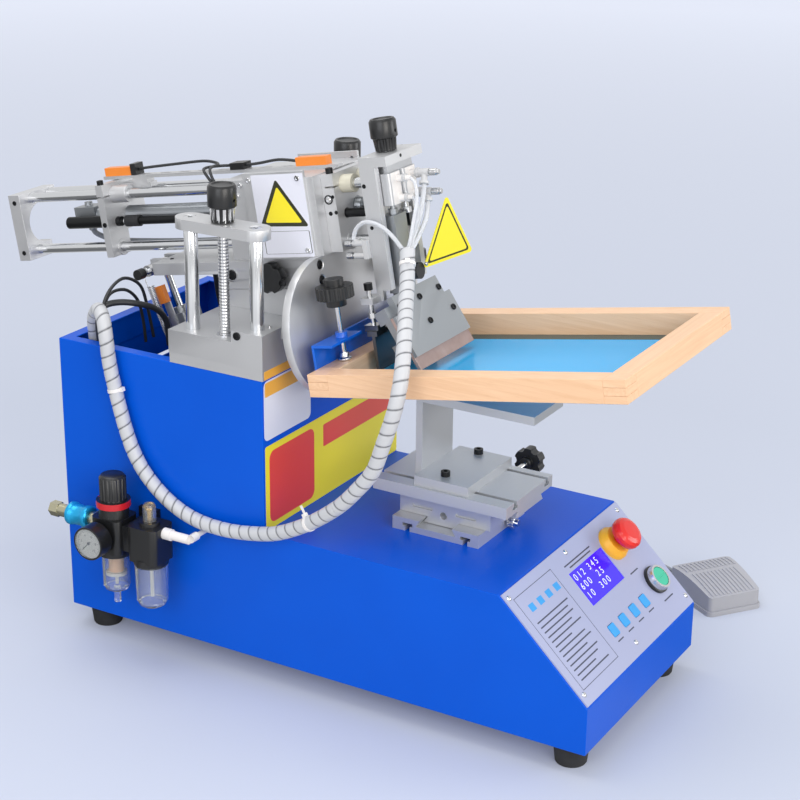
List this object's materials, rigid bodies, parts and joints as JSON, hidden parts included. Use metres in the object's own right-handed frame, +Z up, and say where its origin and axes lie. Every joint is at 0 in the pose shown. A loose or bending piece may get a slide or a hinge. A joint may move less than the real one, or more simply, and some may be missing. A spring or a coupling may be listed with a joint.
{
  "type": "flatbed_screen_printer",
  "caption": "Bench flatbed screen printer: blue stepped cabinet, tilting head with wooden screen, driven squeegee carriage, slotted work stage, air unit and foot switch on a lead.",
  "frame": {"origin": "middle of the box round the rigid machine, foot switch included, on the floor under the rubber feet", "axes": "+Z up, +Y from the operator to the rear, +X to the operator's right"},
  "size_m": [0.6701, 0.8975, 0.6618],
  "materials": {
    "blue_enamel": "semi-gloss mid blue stoved enamel on folded sheet steel",
    "violet_enamel": "semi-gloss deep blue enamel on folded sheet steel",
    "panel_film": "satin light blue film on a flat cover plate",
    "anodised_aluminium": "bead-blasted clear anodised aluminium",
    "grey_anodised": "satin grey anodised cylinder barrel",
    "machined_steel": "ground tool steel with faint machining lines",
    "ground_steel": "hard-chromed ground shaft",
    "grey_steel": "dark grey spring steel",
    "black_oxide": "black oxide on steel",
    "black_plastic": "moulded black phenolic with a slight sheen",
    "red_plastic": "glossy red moulded plastic",
    "green_plastic": "glossy green moulded plastic",
    "blue_plastic": "glossy blue moulded plastic",
    "cream_plastic": "cream plastic end ring of a linear bush",
    "clear_bowl": "clear polycarbonate bowl",
    "brass": "turned bare brass",
    "beech": "clear-lacquered light hardwood with fine grain",
    "blue_mesh": "tight woven mesh coated bright blue",
    "squeegee_strip": "brown polyurethane strip in a steel back",
    "black_rubber": "matt black rubber",
    "pedal_grey": "light grey moulded plastic",
    "hose_grey": "spiral-wrapped light grey plastic hose"
  },
  "bodies": {
    "base": {"cabinet": "blue_enamel", "rear_panel": "blue_enamel", "rubber_feet": "black_rubber", "control_panel": "panel_film", "base_plate": "anodised_aluminium", "guide_pillars": "ground_steel", "bridge_plates": "anodised_aluminium", "stage_base": "machined_steel", "frl_body": "black_plastic", "frl_bowls": "clear_bowl", "pressure_gauge": "black_plastic", "air_fittings": "brass", "pedal_base": "pedal_grey", "pedal_cord": "black_rubber"},
    "lift": {"lift_plate": "anodised_aluminium", "pedestal": "anodised_aluminium", "spiral_hose": "hose_grey"},
    "left_screw": {"left_height_knob": "black_plastic"},
    "right_screw": {"right_height_knob": "black_plastic"},
    "head": {"tilt_beam": "anodised_aluminium", "rod_housing": "anodised_aluminium", "bearing_plates": "anodised_aluminium", "guide_bushes": "cream_plastic", "print_cylinder": "grey_anodised", "sensor_rail": "anodised_aluminium", "shock_absorber": "black_oxide", "faceplate": "anodised_aluminium", "frame_holder": "violet_enamel", "screen_frame": "beech", "screen_mesh": "blue_mesh"},
    "beam_lock": {"beam_knob": "black_plastic"},
    "shock_rod": {"shock_plunger": "ground_steel"},
    "left_pad": {"left_clamp_pad": "brass"},
    "right_pad": {"right_clamp_pad": "brass"},
    "left_wheel": {"left_clamp_wheel": "black_plastic"},
    "right_wheel": {"right_clamp_wheel": "black_plastic"},
    "carriage": {"carriage_rods": "ground_steel", "rear_end_plate": "anodised_aluminium", "head_plate": "anodised_aluminium", "head_cylinders": "grey_anodised"},
    "head_adjuster": {"head_knob": "black_plastic"},
    "squeegee": {"squeegee_holder": "anodised_aluminium", "squeegee_blade": "squeegee_strip"},
    "flood": {"flood_bar": "grey_steel"},
    "tilt_barrel": {"tilt_cylinder": "grey_anodised"},
    "tilt_piston": {"tilt_rod": "ground_steel"},
    "cross_slide": {"stage_slide": "machined_steel"},
    "table": {"stage_table": "machined_steel", "platen": "machined_steel"},
    "stage_lock": {"stage_knob": "black_plastic"},
    "thumb_screw": {"stage_thumb_screw": "ground_steel"},
    "estop": {"estop_button": "red_plastic"},
    "start": {"start_button": "green_plastic"},
    "key_a": {"key_1": "blue_plastic"},
    "key_b": {"key_2": "blue_plastic"},
    "key_c": {"key_3": "blue_plastic"},
    "key_d": {"key_4": "blue_plastic"},
    "regulator": {"regulator_knob": "black_plastic"},
    "sleeve": {"valve_sleeve": "blue_plastic"},
    "treadle": {"pedal_treadle": "pedal_grey"}
  },
  "joints": [
    {"name": "lift_height", "type": "slide", "parent": "base", "child": "lift", "axis": [0, 0, 1], "range_m": [0, 0.06]},
    {"name": "left_screw_turn", "type": "hinge", "parent": "base", "child": "left_screw", "pos_m": [-0.217, 0.0505, 0.529], "axis": [0, 0, 1], "range_deg": [0, 7200]},
    {"name": "right_screw_turn", "type": "hinge", "parent": "base", "child": "right_screw", "pos_m": [0.045, 0.0505, 0.529], "axis": [0, 0, 1], "range_deg": [0, 7200]},
    {"name": "head_tilt", "type": "hinge", "parent": "lift", "child": "head", "pos_m": [-0.086, -0.0038, 0.4708], "axis": [1, 0, 0], "range_deg": [0, 10]},
    {"name": "tilt_barrel_swing", "type": "hinge", "parent": "lift", "child": "tilt_barrel", "pos_m": [-0.086, 0.1715, 0.293], "axis": [1, 0, 0], "range_deg": [0, 4.28]},
    {"name": "tilt_piston_stroke", "type": "slide", "parent": "tilt_barrel", "child": "tilt_piston", "axis": [0, 0.3938, 0.9192], "range_m": [0, 0.0398]},
    {"name": "carriage_travel", "type": "slide", "parent": "head", "child": "carriage", "axis": [0, -0.9848, 0.1736], "range_m": [0, 0.12]},
    {"name": "head_adjuster_turn", "type": "hinge", "parent": "carriage", "child": "head_adjuster", "pos_m": [-0.086, -0.08243, 0.62378], "axis": [0, 0.1736, 0.9848], "range_deg": [-720, 720]},
    {"name": "squeegee_stroke", "type": "slide", "parent": "carriage", "child": "squeegee", "axis": [0, -0.1736, -0.9848], "range_m": [0, 0.007], "stiffness_N_per_m": 500, "springref_m": -0.02},
    {"name": "flood_stroke", "type": "slide", "parent": "carriage", "child": "flood", "axis": [0, -0.1736, -0.9848], "range_m": [0, 0.007], "stiffness_N_per_m": 500, "springref_m": -0.02},
    {"name": "shock_stroke", "type": "slide", "parent": "head", "child": "shock_rod", "axis": [0, 0.9848, -0.1736], "range_m": [0, 0.005], "stiffness_N_per_m": 200, "springref_m": -0.002},
    {"name": "beam_lock_turn", "type": "hinge", "parent": "head", "child": "beam_lock", "pos_m": [-0.136, 0.03941, 0.46826], "axis": [1, 0, 0], "range_deg": [-360, 360]},
    {"name": "left_pad_travel", "type": "slide", "parent": "head", "child": "left_pad", "axis": [0, 0.1736, 0.9848], "range_m": [0, 0.012]},
    {"name": "right_pad_travel", "type": "slide", "parent": "head", "child": "right_pad", "axis": [0, 0.1736, 0.9848], "range_m": [0, 0.012]},
    {"name": "left_wheel_turn", "type": "hinge", "parent": "left_pad", "child": "left_wheel", "pos_m": [-0.168, -0.06712, 0.46876], "axis": [0, 0.1736, 0.9848], "range_deg": [0, 4320]},
    {"name": "right_wheel_turn", "type": "hinge", "parent": "right_pad", "child": "right_wheel", "pos_m": [-0.004, -0.06712, 0.46876], "axis": [0, 0.1736, 0.9848], "range_deg": [0, 4320]},
    {"name": "cross_slide_travel", "type": "slide", "parent": "base", "child": "cross_slide", "axis": [1, 0, 0], "range_m": [-0.015, 0.015]},
    {"name": "table_travel", "type": "slide", "parent": "cross_slide", "child": "table", "axis": [0, 1, 0], "range_m": [-0.015, 0.015]},
    {"name": "stage_lock_turn", "type": "hinge", "parent": "table", "child": "stage_lock", "pos_m": [-0.016, -0.227, 0.2445], "axis": [1, 0, 0], "range_deg": [-180, 180]},
    {"name": "thumb_screw_turn", "type": "hinge", "parent": "base", "child": "thumb_screw", "pos_m": [-0.072, -0.252, 0.202], "axis": [0, 1, 0], "range_deg": [-360, 360]},
    {"name": "estop_push", "type": "slide", "parent": "base", "child": "estop", "axis": [0, 0.6974, -0.7167], "range_m": [0, 0.004], "stiffness_N_per_m": 900, "springref_m": -0.002},
    {"name": "start_push", "type": "slide", "parent": "base", "child": "start", "axis": [0, 0.6974, -0.7167], "range_m": [0, 0.003], "stiffness_N_per_m": 600, "springref_m": -0.001},
    {"name": "regulator_turn", "type": "hinge", "parent": "base", "child": "regulator", "pos_m": [-0.273, 0.178, 0.219], "axis": [0, 0, 1], "range_deg": [-540, 540]},
    {"name": "sleeve_slide", "type": "slide", "parent": "base", "child": "sleeve", "axis": [0, 1, 0], "range_m": [0, 0.008]},
    {"name": "treadle_press", "type": "hinge", "parent": "base", "child": "treadle", "pos_m": [0.2794, -0.3538, 0.011], "axis": [0.7986, -0.6018, 0], "range_deg": [0, 1.9], "stiffness_Nm_per_rad": 8, "springref_deg": -2.86},
    {"name": "key_1_push", "type": "slide", "parent": "base", "child": "key_a", "axis": [0, 0.6974, -0.7167], "range_m": [0, 0.001], "stiffness_N_per_m": 400, "springref_m": -0.001},
    {"name": "key_2_push", "type": "slide", "parent": "base", "child": "key_b", "axis": [0, 0.6974, -0.7167], "range_m": [0, 0.001], "stiffness_N_per_m": 400, "springref_m": -0.001},
    {"name": "key_3_push", "type": "slide", "parent": "base", "child": "key_c", "axis": [0, 0.6974, -0.7167], "range_m": [0, 0.001], "stiffness_N_per_m": 400, "springref_m": -0.001},
    {"name": "key_4_push", "type": "slide", "parent": "base", "child": "key_d", "axis": [0, 0.6974, -0.7167], "range_m": [0, 0.001], "stiffness_N_per_m": 400, "springref_m": -0.001}
  ],
  "couplings": [
    {"joint": "left_screw_turn", "follows": "lift_height", "rad_per_m": 2094.4},
    {"joint": "right_screw_turn", "follows": "lift_height", "rad_per_m": 2094.4},
    {"joint": "tilt_barrel_swing", "follows": "head_tilt", "ratio": 0.42766},
    {"joint": "tilt_piston_stroke", "follows": "head_tilt", "m_per_rad": 0.22747},
    {"joint": "left_wheel_turn", "follows": "left_pad_travel", "rad_per_m": 6283.2},
    {"joint": "right_wheel_turn", "follows": "right_pad_travel", "rad_per_m": 6283.2}
  ]
}
